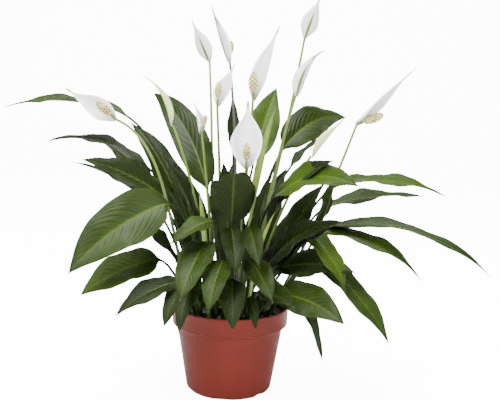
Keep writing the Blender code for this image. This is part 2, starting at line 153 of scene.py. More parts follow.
def tube(sides, rows):
    """A closed tube of radius 1 round z, from z = 0 to z = 1."""
    bm = bmesh.new()
    bmesh.ops.create_circle(bm, cap_ends=True, segments=sides, radius=1)
    ring = bm.edges[:]
    for i in range(rows):
        made = bmesh.ops.extrude_edge_only(bm, edges=ring)["geom"]
        ring = [item for item in made if isinstance(item, bmesh.types.BMEdge) and item.is_boundary]
        corners = [item for item in made if isinstance(item, bmesh.types.BMVert)]
        bmesh.ops.translate(bm, verts=corners, vec=(0, 0, 1 / rows))
    bmesh.ops.holes_fill(bm, edges=ring, sides=0)
    bmesh.ops.recalc_face_normals(bm, faces=bm.faces[:])
    return read_shape(bm)


def ball(segments, rings):
    bm = bmesh.new()
    bmesh.ops.create_uvsphere(bm, u_segments=segments, v_segments=rings, radius=1)
    bmesh.ops.recalc_face_normals(bm, faces=bm.faces[:])
    return read_shape(bm)


print("sheet, tube and ball ready")

# %% [markdown]
# ## Putting a piece together
#
# One piece of the plant may hold several closed shapes: a shoot has a sheath and two or three leaves.
# They are gathered first and made one mesh at the end. The mesh gets a UV map, and it stores the values
# that its material reads at each point, such as how far along a blade the point lies. Each finished
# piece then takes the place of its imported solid.

# %% Gathering and dressing


class Part:
    """Several closed shapes gathered into one piece, with values that its material reads."""

    def __init__(self):
        self.points, self.faces, self.values, self.uv = [], [], {}, []
        self.count = 0

    def add(self, points, faces, uv, **values):
        self.faces += [[i + self.count for i in face] for face in faces]
        self.points.append(points)
        self.uv.append(uv)
        self.count += len(points)
        for name, value in values.items():
            self.values.setdefault(name, []).append(np.broadcast_to(value, len(points)))

    def build(self, name, node, paint, sharp=60):
        mesh = bpy.data.meshes.new(name)
        mesh.from_pydata(np.vstack(self.points).tolist(), [], self.faces)
        corners = np.zeros(len(mesh.loops), np.int32)
        mesh.loops.foreach_get("vertex_index", corners)
        layer = mesh.uv_layers.new(name="UVMap")
        layer.data.foreach_set("uv", np.vstack(self.uv)[corners].astype(np.float32).ravel())
        for key, chunks in self.values.items():
            stored = mesh.attributes.new(key, "FLOAT", "POINT")
            stored.data.foreach_set("value", np.concatenate(chunks).astype(np.float32))
        return dress(name, mesh, node, paint, sharp)


def dress(name, mesh, node, paint, sharp=60):
    """Smooth shading, a material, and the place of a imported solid."""
    mesh.shade_smooth()
    mesh.set_sharp_from_angle(angle=math.radians(sharp))
    mesh.materials.append(paint)
    obj = bpy.data.objects.new(name, mesh)
    bpy.context.scene.collection.objects.link(obj)
    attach(obj, "root")
    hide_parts(node)
    return obj


print("pieces ride on root and replace", len(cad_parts), "solids")

# %% [markdown]
# ## Help with materials
#
# A small class keeps the node trees short to write: it adds a node, sets its values and joins its
# inputs in one call. Values that were stored on the points come in through attribute nodes.

# %% Node helper


class Tree:
    """Writes shader nodes: inputs may be numbers, colours or the outputs of other nodes."""

    def __init__(self, tree):
        self.tree = tree

    def node(self, kind, out=0, settings=(), **inputs):
        made = self.tree.nodes.new(kind)
        for key, value in dict(settings).items():
            setattr(made, key, value)
        for key, value in inputs.items():
            numbered = key[0] == "i" and key[1:].isdigit()
            socket = made.inputs[int(key[1:]) if numbered else key.replace("_", " ")]
            if isinstance(value, bpy.types.NodeSocket):
                self.tree.links.new(value, socket)
            else:
                socket.default_value = value
        return made.outputs[out]

    def group(self, content, **inputs):
        placed = self.tree.nodes.new("ShaderNodeGroup")
        placed.node_tree = content
        for key, value in inputs.items():
            if isinstance(value, bpy.types.NodeSocket):
                self.tree.links.new(value, placed.inputs[key])
            else:
                placed.inputs[key].default_value = value
        return placed.outputs

    def math(self, operation, a, b=0.0, c=0.0):
        return self.node("ShaderNodeMath", settings={"operation": operation}, i0=a, i1=b, i2=c)

    def value(self, name):
        return self.node("ShaderNodeAttribute", "Fac", {"attribute_name": name})

    def mix(self, share, a, b):
        return self.node("ShaderNodeMix", 2, {"data_type": "RGBA"}, i0=share, i6=a, i7=b)

    def ramp(self, x, low, high, first=0.0, last=1.0):
        return self.node("ShaderNodeMapRange", 0, {"interpolation_type": "SMOOTHSTEP"},
                         Value=x, From_Min=low, From_Max=high, To_Min=first, To_Max=last)

    def noise(self, scale, detail=3.0, roughness=0.5, where=None):
        where = where or self.node("ShaderNodeTexCoord", "Object")
        return self.node("ShaderNodeTexNoise", 0, Vector=where, Scale=scale, Detail=detail,
                         Roughness=roughness)

    def join(self, shader, **values):
        """Join finished values to the sockets of a material's shader."""
        for key, value in values.items():
            self.tree.links.new(value, shader.inputs[key.replace("_", " ")])


def colour(red, green, blue):
    """A linear colour from values of 0 to 255 as seen on a screen."""
    seen = [c / 255 for c in (red, green, blue)]
    return tuple(c / 12.92 if c < 0.04045 else ((c + 0.055) / 1.055) ** 2.4 for c in seen) + (1,)


def new_material(name, **constants):
    made = bpy.data.materials.new(name)
    made.use_nodes = True
    shader = made.node_tree.nodes["Principled BSDF"]
    for key, value in constants.items():
        shader.inputs[key.replace("_", " ")].default_value = value
    return made, Tree(made.node_tree), shader


def new_group(name, inputs, outputs):
    """An empty node group with float sockets, its helper, its inputs and its output node."""
    group = bpy.data.node_groups.new(name, "ShaderNodeTree")
    for key in inputs:
        group.interface.new_socket(key, in_out="INPUT", socket_type="NodeSocketFloat")
    for key in outputs:
        group.interface.new_socket(key, in_out="OUTPUT", socket_type="NodeSocketFloat")
    given = group.nodes.new("NodeGroupInput").outputs
    result = group.nodes.new("NodeGroupOutput").inputs
    return group, Tree(group), given, result


print("node helper ready")

# %% [markdown]
# ## Long streaks
#
# Stems, rolled leaves and moulded plastic all carry long soft streaks. Noise that is squeezed sideways
# and drawn out in height gives them. It is a node group, built once, because several materials use it
# and each sets its own scale.

# %% Streak group


def streak_group():
    """Noise squeezed sideways and drawn out in height."""
    group, tree, given, result = new_group("Long streaks", ("Across", "Along"), ("Streak",))
    where = tree.node("ShaderNodeTexCoord", "Object")
    stretch = tree.node("ShaderNodeCombineXYZ", X=given["Across"], Y=given["Across"], Z=given["Along"])
    stretched = tree.node("ShaderNodeVectorMath", 0, {"operation": "MULTIPLY"}, i0=where, i1=stretch)
    group.links.new(tree.noise(1.0, 3.0, where=stretched), result["Streak"])
    return group


STREAKS = streak_group()
print("streak group with", len(STREAKS.nodes), "nodes")

# %% [markdown]
# ## The leaf surface
#
# Fine side veins leave the midrib and sweep forward to the margin, so their pattern is a wave in a
# number that grows along the blade and falls towards the margin. Some veins are stronger than others.
# The blade sinks along them, which shows as soft stripes, and its colour is darkened there as well as
# painted shade. The upper face is glossy and deep green, with a pale midrib; the under face is paler and
# matt, and the very tip is dry. Each leaf also carries its own tone, because young leaves are brighter
# than old ones.

# %% Vein pattern and leaf material
VEINS_ALONG = 13
FINE_VEINS_ALONG = 65
VEIN_SWEEP = 0.18
VEIN_CURVE = 0.24
VEIN_VALUES = ("Swell", "Strong", "Fine", "Midrib")


def vein_group():
    group, tree, given, result = new_group("Side veins", ("Across", "Blade"), VEIN_VALUES)
    across, blade = given["Across"], given["Blade"]
    curve = tree.math("MULTIPLY", tree.math("POWER", across, 3.0), VEIN_CURVE)
    origin = tree.math("SUBTRACT", blade, tree.math("MULTIPLY_ADD", across, VEIN_SWEEP, curve))
    origin = tree.math("MULTIPLY_ADD", tree.noise(60.0, 2.0), 0.012, origin)

    def lines(count, sharpness):
        wave = tree.math("COSINE", tree.math("MULTIPLY", origin, 2 * math.pi * count))
        return tree.math("POWER", tree.math("MULTIPLY_ADD", wave, 0.5, 0.5), sharpness)

    swell = tree.math("MULTIPLY", lines(VEINS_ALONG, 1.0), tree.ramp(across, 0.0, 0.25))
    strong = lines(VEINS_ALONG, 9.0)
    fine = lines(FINE_VEINS_ALONG, 2.0)
    midrib = tree.ramp(across, 0.07, 0.02)
    for name, socket in zip(VEIN_VALUES, (swell, strong, fine, midrib)):
        group.links.new(socket, result[name])
    return group


VEINS = vein_group()


def leaf_material():
    made, tree, shader = new_material("glossy leaf", IOR=1.45, Specular_IOR_Level=0.15)
    across, blade, face = tree.value("across"), tree.value("blade"), tree.value("upper")
    veins = tree.group(VEINS, Across=across, Blade=blade)
    swell, strong, fine, midrib = (veins[name] for name in VEIN_VALUES)
    blotch = tree.noise(34.0, 4.0)
    tone = tree.math("ADD", tree.value("tone"), tree.math("MULTIPLY_ADD", blotch, 0.44, -0.22))
    tone = tree.math("MULTIPLY_ADD", tree.ramp(across, 0.75, 1.0), 0.12, tone)
    # Painted shade: the tone is darkened in the sunken bands along the side veins.
    tone = tree.math("MULTIPLY_ADD", swell, -0.2, tone)
    upper = tree.mix(tree.ramp(tone, 0.0, 0.55), colour(4, 8, 1), colour(20, 33, 3))
    upper = tree.mix(tree.ramp(tone, 0.45, 1.0), upper, colour(48, 68, 9))
    vein_share = tree.math("MULTIPLY_ADD", strong, 0.32, tree.math("MULTIPLY", fine, 0.09))
    upper = tree.mix(vein_share, upper, colour(56, 74, 14))
    rib_share = tree.math("MULTIPLY", midrib, tree.ramp(blade, 0.95, 0.0, 0.08, 0.5))
    upper = tree.mix(rib_share, upper, colour(74, 92, 26))
    under = tree.mix(tree.math("MULTIPLY", strong, 0.4), colour(26, 36, 10), colour(40, 50, 20))
    under = tree.mix(tree.math("MULTIPLY", midrib, 0.6), under, colour(60, 74, 28))
    blade_colour = tree.mix(face, under, upper)
    blade_colour = tree.mix(tree.ramp(blade, 0.965, 1.0, 0.0, 0.8), blade_colour, colour(92, 80, 44))
    stalk = tree.mix(blotch, colour(22, 34, 8), colour(42, 56, 16))
    final = tree.mix(tree.ramp(blade, -0.06, 0.05), stalk, blade_colour)
    tree.join(shader, Base_Color=final)
    gloss = tree.ramp(face, 0.0, 1.0, 0.6, 0.33)
    tree.join(shader, Roughness=tree.math("MULTIPLY_ADD", blotch, 0.14, gloss))
    height = tree.math("MULTIPLY_ADD", swell, -0.7, tree.math("MULTIPLY", strong, -0.35))
    height = tree.math("MULTIPLY_ADD", fine, 0.22, height)
    height = tree.math("MULTIPLY_ADD", tree.noise(420.0, 2.0), 0.4, height)
    bump = tree.node("ShaderNodeBump", 0, Strength=0.85, Distance=0.0004, Height=height)
    tree.join(shader, Normal=bump)
    return made


LEAF = leaf_material()
print("leaf material with", len(LEAF.node_tree.nodes), "nodes")

# %% [markdown]
# ## Leaves
#
# Each leaf is one sheet. Its lowest rows are rolled into a round stalk, which opens into a blade. The
# blade is folded along its midrib, arched towards its margins and waved along them, and it is slightly
# quilted between the side veins. The outline rises fast, is widest at two fifths, and draws out into a
# long tip. A leaf is a row of numbers: bearing, rise, droop and nod in degrees, the lengths of its
# stalk and blade and its width in millimetres, its roll in degrees, and its tone.

# %% Leaf shape
LEAF_COLUMNS = 24
STALK_ROW = 9
BLADE_ROW = 2.2
STALK_RADIUS = 1.7 * MM
STALK_END_RADIUS = 1.3 * MM
LEAF_FOLD = 22
LEAF_ARCH = 0.42
MARGIN_WAVE = 0.16
FINE_WAVE = 0.035
WAVES = 12.5
LEAF_TWIST = 11
STALK_WRAP = 75
BLADE_OPENING = 0.12
QUILT_DEPTH = 0.3 * MM
GROOVE_DEPTH = 0.35 * MM
GROOVE_WIDTH = 1.1 * MM
RIB_OF_GROOVE = 2.2
BLADE_THICKNESS = 0.75 * MM
MARGIN_THINNING = 0.4 * MM
SHEATH_RADIUS = 4.4 * MM
SHEATH_RISE = 9 * MM


def blade_outline(v):
    return 3.33 * np.clip(v, 0, 1) ** 0.7 * np.clip(1 - v, 0, 1) ** 1.1


def blade_height(u, v, layer, half, seed):
    """How far the points stand out of the blade's plane: fold, waves, quilting, midrib, thickness."""
    phase = seed + np.where(u > 0, 1.9, 0)
    wave = MARGIN_WAVE * np.sin(WAVES * v + phase) + FINE_WAVE * np.sin(2.9 * WAVES * v + 2 * phase)
    wave = half * np.abs(u) ** 2.5 * wave
    fold = half * math.sin(math.radians(LEAF_FOLD)) * (np.abs(u) - LEAF_ARCH * u * u)
    origin = v - VEIN_SWEEP * np.abs(u) - VEIN_CURVE * np.abs(u) ** 3
    swell = np.cos(2 * math.pi * VEINS_ALONG * origin) * np.abs(u) ** 0.5 * (1 - u**6)
    quilt = -QUILT_DEPTH * swell * smooth(half / (20 * MM))
    groove = -GROOVE_DEPTH * np.exp(-((u * half / GROOVE_WIDTH) ** 2)) * (1 - np.clip(v, 0, 1))
    rib = np.where(layer < 0, RIB_OF_GROOVE * groove, groove)
    thickness = BLADE_THICKNESS - MARGIN_THINNING * np.abs(u) ** 3
    return fold + wave + quilt + layer * thickness / 2 + rib


def add_leaf(part, start, leaf, seed):
    bearing, rise, droop, nod, stalk, blade, width, roll, tone = leaf
    neck = stalk / (stalk + blade)
    spine = Spine(start, bearing, rise, droop, (stalk + blade) * MM, nod=nod, neck=neck)
    stalk_rows, blade_rows = max(6, round(stalk / STALK_ROW)), max(26, round(blade / BLADE_ROW))
    grid, faces = sheet(LEAF_COLUMNS, stalk_rows + blade_rows)
    u, along, layer = grid.T
    row = along * (stalk_rows + blade_rows)
    v = (row - stalk_rows) / blade_rows
    s = np.where(v < 0, neck * row / stalk_rows, neck + (1 - neck) * v)
    radius = STALK_RADIUS + (STALK_END_RADIUS - STALK_RADIUS) * np.minimum(s / neck, 1)
    half = np.maximum(width / 2 * MM * blade_outline(v), radius * (1 - 0.85 * smooth(v * 1.2)))
    wrap = np.radians(STALK_WRAP) * u
    flat = smooth(v / BLADE_OPENING)
    x = half * u * flat + radius * np.sin(wrap) * (1 - flat)
    z = blade_height(u, v, layer, half, seed) * flat + layer * radius * np.cos(wrap) * (1 - flat)
    centre, _, side, up = spine.at(s)
    twist = LEAF_TWIST * math.sin(2.7 * seed) * np.clip(v, 0, 1) ** 2
    side, up = turned(side, up, roll * smooth(s / neck) + twist)
    points = centre + side * x[:, None] + up * z[:, None]
    uv = np.stack([(u + 1) / 2, along], axis=1)
    part.add(points, faces, uv, across=np.abs(u), blade=v, upper=(layer > 0) * 1.0, tone=tone)


def add_sheath(part, root, tone):
    """The short sheath that the stalks of one shoot rise from."""
    grid, faces = tube(18, 8)
    height = grid[:, 2]
    ridges = 1 + 0.05 * np.sin(5 * np.arctan2(grid[:, 1], grid[:, 0]))
    radius = SHEATH_RADIUS * (1 - 0.25 * height) * ridges
    points = grid * radius[:, None]
    points[:, 2] = height * (STEM_DEPTH + SHEATH_RISE) - STEM_DEPTH
    uv = np.stack([np.abs(grid[:, 0]), height], axis=1)
    part.add(points + root, faces, uv, across=0.5, blade=-1.0, upper=1.0, tone=tone)


print("leaf of", LEAF_COLUMNS, "columns")

# %% [markdown]
# ## Shoots
#
# The shoots come up all over the soil. Those at the front lean out and nod over the rim, those at the
# sides arch far out, and those at the back stand tall, so that the clump is full from every side. Each
# shoot is its root distance and bearing, and then its leaves.

# %% Shoots
STALK_SPREAD = 1.2 * MM
STALK_LIFT = 3 * MM
SHOOT_PHASE = 1.3
LEAF_PHASE = 2.1

SHOOTS = {
    "shoot_left_high": (22, 180, [
        (182, 78, 68, 28, 235, 140, 30, -8, 0.65),
        (183, 80, 98, 0, 178, 118, 31, -5, 0.25),
    ]),
    "shoot_left_mid": (36, 188, [
        (196, 79, 36, 30, 132, 103, 37, -42, 0.30),
        (180, 74, 50, 14, 118, 112, 24, 0, 0.40),
    ]),
    "shoot_left_back": (34, 152, [
        (161, 72, 55, 0, 145, 98, 27, -20, 0.35),
        (144, 76, 44, 0, 95, 140, 36, -25, 0.25),
        (140, 80, 20, 0, 40, 130, 40, -40, 0.15),
    ]),
    "shoot_back_left": (22, 122, [
        (129, 84, 72, 0, 130, 160, 40, -38, 0.45),
        (84, 82, 40, 10, 42, 140, 24, 0, 0.20),
    ]),
    "shoot_left_broad": (16, 222, [
        (210, 72, 50, 72, 140, 138, 56, -58, 0.62),
        (200, 78, 25, 0, 95, 100, 30, -35, 0.30),
    ]),
    "shoot_left_low": (40, 204, [
        (204, 62, 40, 60, 75, 98, 40, -38, 0.75),
        (208, 72, 30, 10, 60, 82, 27, -30, 0.25),
    ]),
    "shoot_front_left": (44, 230, [
        (216, 62, 40, 60, 52, 86, 30, -25, 0.30),
        (236, 66, 40, 90, 55, 60, 24, -15, 0.45),
    ]),
    "shoot_front_left_drape": (38, 243, [
        (246, 70, 50, 95, 75, 80, 25, 0, 0.40),
        (250, 84, 40, 95, 92, 88, 37, 0, 0.60),
    ]),
    "shoot_front_inner": (29, 258, [
        (232, 86, 30, 80, 112, 70, 27, -10, 0.65),
        (280, 86, 60, 90, 112, 60, 25, 0, 0.35),
    ]),
    "shoot_front": (44, 270, [
        (256, 76, 50, 85, 80, 70, 28, 0, 0.60),
        (274, 72, 50, 95, 60, 60, 27, 0, 0.40),
    ]),
    "shoot_front_right_inner": (34, 288, [
        (290, 76, 30, 80, 75, 80, 27, 20, 0.50),
        (284, 84, 40, 90, 112, 64, 21, 20, 0.40),
        (316, 82, 20, 0, 55, 130, 36, 25, 0.10),
    ]),
    "shoot_front_high": (20, 268, [
        (272, 85, 74, 0, 108, 110, 48, 0, 0.15),
        (250, 87, 16, 0, 46, 130, 40, 0, 0.15),
    ]),
    "shoot_front_right_low": (47, 292, [
        (302, 64, 30, 50, 45, 68, 31, 25, 0.35),
        (282, 66, 50, 80, 38, 42, 13, 0, 0.30),
    ]),
    "shoot_right_low": (44, 312, [
        (316, 54, 40, 42, 42, 98, 40, 42, 0.55),
        (324, 52, 36, 94, 62, 88, 17, 0, 0.40),
    ]),
    "shoot_right_mid": (36, 324, [
        (330, 72, 40, 45, 60, 95, 35, 48, 0.30),
        (321, 72, 30, 20, 62, 108, 36, 45, 0.20),
        (326, 74, 70, 75, 118, 84, 28, 20, 0.80),
    ]),
    "shoot_right_inner": (20, 322, [
        (318, 86, 92, 14, 140, 122, 38, 42, 0.78),
        (321, 80, 60, 0, 95, 130, 39, 42, 0.15),
        (318, 70, 50, 10, 45, 130, 42, 45, 0.10),
    ]),
    "shoot_right_long": (28, 342, [
        (344, 61, 70, 35, 122, 198, 27, 10, 0.50),
        (340, 66, 75, 40, 112, 138, 30, 15, 0.65),
    ]),
    "shoot_right_outer": (42, 344, [
        (330, 56, 40, 75, 88, 122, 31, 20, 0.60),
        (354, 58, -25, 0, 108, 75, 27, 20, 0.50),
    ]),
    "shoot_right_upper": (28, 8, [
        (2, 68, 58, 35, 165, 130, 32, 12, 0.80),
        (14, 62, 35, 35, 134, 126, 32, 10, 0.60),
        (354, 71, 20, 0, 36, 130, 40, 50, 0.15),
    ]),
    "shoot_back_right": (24, 46, [
        (47, 86, 90, 10, 185, 125, 41, 45, 0.52),
        (27, 84, 54, 0, 168, 50, 17, 0, 0.40),
        (57, 76, 40, 0, 34, 140, 42, 0, 0.15),
    ]),
    "shoot_back_high": (20, 84, [
        (62, 81, 34, 0, 166, 98, 38, 30, 0.85),
        (100, 86, 12, 0, 175, 62, 17, 20, 0.35),
    ]),
}

for number, (name, (distance, bearing, leaves)) in enumerate(SHOOTS.items()):
    part = Part()
    root = place(distance, bearing, SOIL_TOP)
    add_sheath(part, root, leaves[0][-1])
    for i, leaf in enumerate(leaves):
        start = root + heading(leaf[0]) * STALK_SPREAD + np.array((0, 0, STALK_LIFT))
        add_leaf(part, start, leaf, SHOOT_PHASE * number + LEAF_PHASE * i)
    part.build(name.replace("shoot", "leaves"), name, LEAF)
print(len(SHOOTS), "shoots,", sum(len(shoot[2]) for shoot in SHOOTS.values()), "leaves")

# %% [markdown]
# ## Rolled young leaves
#
# A young leaf comes up as a pale spindle, rolled round itself. Its outline is a tube that swells above
# the stalk and closes to a point. The radius steps along one line, which is the free edge of the roll.

# %% Rolled leaves
SPINDLE_STALK = 2
SPINDLE_START = 0.45
ROLL_STEP = 0.16


def young_material():
    made, tree, shader = new_material("young leaf", Roughness=0.42)
    blade = tree.value("blade")
    streak = tree.group(STREAKS, Across=900.0, Along=25.0)["Streak"]
    pale = tree.mix(streak, colour(60, 86, 16), colour(146, 164, 66))
    tip = tree.mix(tree.ramp(blade, 0.85, 1.0), pale, colour(76, 104, 36))
    base = tree.mix(tree.ramp(blade, 0.1, 0.55), colour(70, 92, 36), tip)
    tree.join(shader, Base_Color=base)
    bump = tree.node("ShaderNodeBump", 0, Strength=0.4, Distance=0.0002, Height=streak)
    tree.join(shader, Normal=bump)
    return made


# Each rolled leaf: root distance and bearing, its bearing, rise, droop and length, thickest radius.
ROLLED_LEAVES = {
    "rolled_leaf_back": (30, 62, 5, 88, 16, 232, 4.6),
    "rolled_leaf_front_left": (30, 222, 250, 80, 12, 150, 3.2),
    "rolled_leaf_front_right": (36, 300, 300, 78, 30, 140, 2.6),
}
YOUNG = young_material()


def stem_shape(spine, sides, rows, radius_at, ripple=None):
    """A tube that starts upright in the soil and then follows a spine."""
    grid, faces = tube(sides, rows)
    reach = STEM_DEPTH + ROOT_RISE
    length = SPINE_STEPS * np.linalg.norm(spine.points[1] - spine.points[0])
    s = grid[:, 2] * (1 + reach / length) - reach / length
    centre, _, side, up = spine.at(s)
    centre = centre + np.array((0, 0, 1)) * (np.minimum(s, 0) * length)[:, None]
    angle = np.arctan2(grid[:, 1], grid[:, 0])
    radius = radius_at(np.clip(s, 0, 1)) * np.hypot(grid[:, 0], grid[:, 1])
    if ripple:
        radius = radius * ripple(angle, s)
    points = centre + side * (radius * np.cos(angle))[:, None] + up * (radius * np.sin(angle))[:, None]
    uv = np.stack([np.abs(angle) / math.pi, grid[:, 2]], axis=1)
    return points, faces, uv, s


def rolled_radius(thickest):
    def radius_at(s):
        past = np.clip(s - SPINDLE_START, 0, 1) / (1 - SPINDLE_START)
        swell = np.clip(np.sin(math.pi * past), 0, 1) ** 0.8
        return (SPINDLE_STALK * (1 - 0.9 * s**4) + (thickest - SPINDLE_STALK) * swell) * MM
    return radius_at


def rolled_edge(angle, s):
    turn = (angle / (2 * math.pi) + 0.5 + 0.4 * s) % 1
    return 1 + ROLL_STEP * smooth((s - 0.4) / 0.1) * (turn - 0.5)


for name, (distance, root_bearing, bearing, rise, droop, length, thickest) in ROLLED_LEAVES.items():
    part = Part()
    start = place(distance, root_bearing, SOIL_TOP + ROOT_RISE)
    spine = Spine(start, bearing, rise, droop, length * MM)
    points, faces, uv, s = stem_shape(spine, 40, 90, rolled_radius(thickest), rolled_edge)
    part.add(points, faces, uv, blade=s)
    part.build(name.replace("leaf", "spindle"), name, YOUNG, sharp=35)
print(len(ROLLED_LEAVES), "rolled leaves")

# %% [markdown]
# ## Where a bloom's pieces meet
#
# A bloom has three pieces. The scape is its stalk, and ends in a short bare stipe. The spathe is the
# white bract that clasps the scape and stands behind the spadix, the spike of tiny flowers. All of
# them are set from the end of the scape, the axis of the spathe and the direction that it faces.

# %% Bloom design
SCAPE_RADIUS = 1.9 * MM
SCAPE_TOP_RADIUS = 1.3 * MM
STIPE_LENGTH = 8 * MM
STIPE_GAP = 0.4 * MM
SPIKE_LEAN = 0.45

# Scape: root distance and bearing, bearing, rise, droop, length, bend.
# Spathe: bearing, rise, droop, length, width, roll, cup. Then the spadix length, 0 while closed, and
# how green the spathe's tip is.
BLOOMS = {
    "far_left": ((52, 215, 198, 78, 56, 240, 5), (192, 30, -8, 62, 27, -60, 48), 22, 0.25),
    "left_closed": ((20, 153, 148, 78, 15, 212, 2), (176, 78, 52, 68, 18, 0, 155), 0, 0.35),
    "left_back": ((34, 128, 100, 82, 17, 282, 2), (180, 66, 0, 52, 21, 75, 45), 22, 0.1),
    "centre_dark": ((10, 60, 116, 89, 15, 278, 2), (185, 71, -4, 66, 22, 25, 70), 15, 0.75),
    "centre_left": ((9, 200, 236, 86, 2, 232, 2), (30, 68, 0, 50, 24, 20, 45), 18, 0.1),
    "centre_small": ((24, 230, 232, 83, 4, 206, 2), (140, 80, 20, 34, 16, 0, 115), 12, 0.3),
    "tall": ((6, 25, 34, 86, 0, 236, 2), (22, 74, 8, 88, 26, 30, 52), 24, 0.3),
    "front": ((21, 295, 276, 83, 27, 180, 2), (90, 74, 10, 74, 38, 0, 58), 19, 0.25),
    "right_back": ((17, 29, 29, 76, -4, 312, 2), (350, 72, 4, 50, 21, -75, 42), 22, 0.1),
    "right_curled": ((20, 14, 20, 81, 8, 246, 2), (15, 78, 55, 62, 22, -90, 95), 14, 0.6),
    "far_right": ((46, 356, 359, 66, -6, 230, 2), (2, 46, 6, 88, 26, 150, 45), 23, 0.35),
    "right_closed": ((17, 345, 352, 74, 14, 192, 2), (350, 55, 5, 58, 21, 0, 150), 0, 0.45),
}


class Bloom:
    """Where a bloom's scape ends, and which ways its spathe and its spike of flowers point."""

    def __init__(self, scape, spathe, spadix, green):
        distance, root_bearing, bearing, rise, droop, length, bend = scape
        root = place(distance, root_bearing, SOIL_TOP + ROOT_RISE)
        self.scape = Spine(root, bearing, rise, droop, length * MM, bend=bend)
        self.end = self.scape.points[-1]
        self.bearing, self.rise, self.droop, length, width, self.roll, self.cup = spathe
        self.length, self.half_width = length * MM, width / 2 * MM
        self.spadix, self.green = spadix * MM, green
        first = Spine(np.zeros(3), self.bearing, self.rise, self.droop, self.length).at(np.zeros(1))
        self.axis = first[1][0]
        self.face = turned(first[2], first[3], self.roll)[1][0]
        spike = self.axis + self.face * SPIKE_LEAN
        self.spike = spike / np.linalg.norm(spike)


blooms = {name: Bloom(*design) for name, design in BLOOMS.items()}
print(len(blooms), "blooms,", sum(bloom.spadix > 0 for bloom in blooms.values()), "of them open")

# %% [markdown]
# ## Scapes
#
# A scape is a plain round stem, thicker at the root and a little ridged. It is dull green low down and
# turns pale yellow-green under the bloom. One old scape has gone dark.

# %% Scapes
SCAPE_SIDES = 16
RIDGES = 5
RIDGE_HEIGHT = 0.035


def scape_material(name, low, high):
    made, tree, shader = new_material(name, Roughness=0.45)
    streak = tree.group(STREAKS, Across=700.0, Along=18.0)["Streak"]
    share = tree.math("MULTIPLY_ADD", streak, 0.7, tree.ramp(tree.value("blade"), 0.15, 1.05, -0.3, 0.6))
    tree.join(shader, Base_Color=tree.mix(share, low, high))
    bump = tree.node("ShaderNodeBump", 0, Strength=0.35, Distance=0.0002, Height=streak)
    tree.join(shader, Normal=bump)
    return made


SCAPE = scape_material("green scape", colour(36, 54, 8), colour(90, 112, 24))
OLD_SCAPE = scape_material("dark scape", colour(34, 44, 30), colour(58, 64, 52))


def scape_radius(s):
    return SCAPE_RADIUS + (SCAPE_TOP_RADIUS - SCAPE_RADIUS) * s


def scape_ridges(angle, s):
    return 1 + RIDGE_HEIGHT * np.cos(RIDGES * angle + 3 * s)


def add_stipe(part, bloom):
    """The bare stem between the spathe and the first flowers."""
    grid, faces = tube(SCAPE_SIDES, 6)
    side, other = square_to(bloom.spike, (0.3, 0.8, 0.5))
    outward = (side * grid[:, :1] + other * grid[:, 1:2]) * SCAPE_TOP_RADIUS
    points = bloom.end + bloom.spike * (grid[:, 2] * STIPE_LENGTH)[:, None] + outward
    part.add(points, faces, np.abs(grid[:, 1:]), blade=1.0)


def build_scape(name, bloom):
    part = Part()
    points, faces, uv, s = stem_shape(bloom.scape, SCAPE_SIDES, 64, scape_radius, scape_ridges)
    part.add(points, faces, uv, blade=s)
    if bloom.spadix:
        add_stipe(part, bloom)
    slot, paint = ("scape_dark", OLD_SCAPE) if name == "centre_dark" else ("scape_green", SCAPE)
    part.build(f"stalk_{name}", f"scape_{name}", paint)


for name, bloom in blooms.items():
    build_scape(name, bloom)
print(len(blooms), "scapes")

# %% [markdown]
# ## The surface of a spathe
#
# The sheet is painted whitest along its rim, as painted light, and a little greyer inside, as painted
# shade of its cup, with faint ribs. Green runs into it at the tip, at the base and up the back of its
# midrib, more in some blooms than in others, and a spathe that is still closed is pale green all over.
# Light passes through it a little, which softens its shading.

# %% Spathe material


def spathe_material():
    made, tree, shader = new_material("white spathe", Subsurface_Weight=0.1, Subsurface_Scale=0.0008,
                                      Subsurface_Radius=(1.0, 1.0, 0.8), IOR=1.4)
    across, blade, green = tree.value("across"), tree.value("blade"), tree.value("green")
    lines = tree.math("COSINE", tree.math("MULTIPLY", tree.math("POWER", across, 0.8), 58.0))
    vein = tree.math("POWER", tree.math("MULTIPLY_ADD", lines, 0.5, 0.5), 4.0)
    blotch = tree.noise(60.0, 3.0)
    # Painted shade and light: a greyer inside and a whiter rim stand in for the shading of the cup.
    inside = tree.mix(blotch, colour(200, 203, 200), colour(220, 222, 221))
    white = tree.mix(tree.ramp(across, 0.72, 0.9), inside, colour(252, 252, 252))
    white = tree.mix(tree.math("MULTIPLY", vein, 0.2), white, colour(186, 194, 178))
    reach = tree.math("MULTIPLY_ADD", green, -0.6, 1.0)
    past = tree.math("DIVIDE", tree.math("SUBTRACT", blade, reach), tree.math("SUBTRACT", 1.0, reach))
    tip = tree.ramp(past, 0.0, 0.5, 0.0, 0.9)
    narrowing = tree.math("MULTIPLY_ADD", blade, 0.24, across)
    behind = tree.ramp(tree.value("upper"), 0.9, 0.1)
    back = tree.math("MULTIPLY", tree.ramp(narrowing, 0.26, 0.15), behind)
    back = tree.math("MULTIPLY", back, tree.ramp(blade, 0.75, 0.45))
    base = tree.ramp(blade, 0.14, 0.0, 0.0, 0.6)
    share = tree.math("MAXIMUM", tree.math("MAXIMUM", tip, back), base)
    young = tree.math("MULTIPLY", tree.value("young"), 0.85)
    body = tree.mix(young, white, colour(190, 206, 118))
    final = tree.mix(share, body, colour(78, 98, 4))
    tree.join(shader, Base_Color=final)
    tree.join(shader, Roughness=tree.math("MULTIPLY_ADD", blotch, 0.15, 0.42))
    height = tree.math("ADD", vein, tree.noise(500.0, 2.0))
    bump = tree.node("ShaderNodeBump", 0, Strength=0.35, Distance=0.0002, Height=height)
    tree.join(shader, Normal=bump)
    return made


SPATHE = spathe_material()
print("spathe material with", len(SPATHE.node_tree.nodes), "nodes")

# %% [markdown]
# ## Spathes
#
# A spathe is a thin sheet curved round the bloom's axis. Low down it clasps the scape; higher up it
# opens to its own cup angle, from a shallow spoon to the closed roll of a bud. Its outline swells to
# the middle and draws out into a narrow tail.

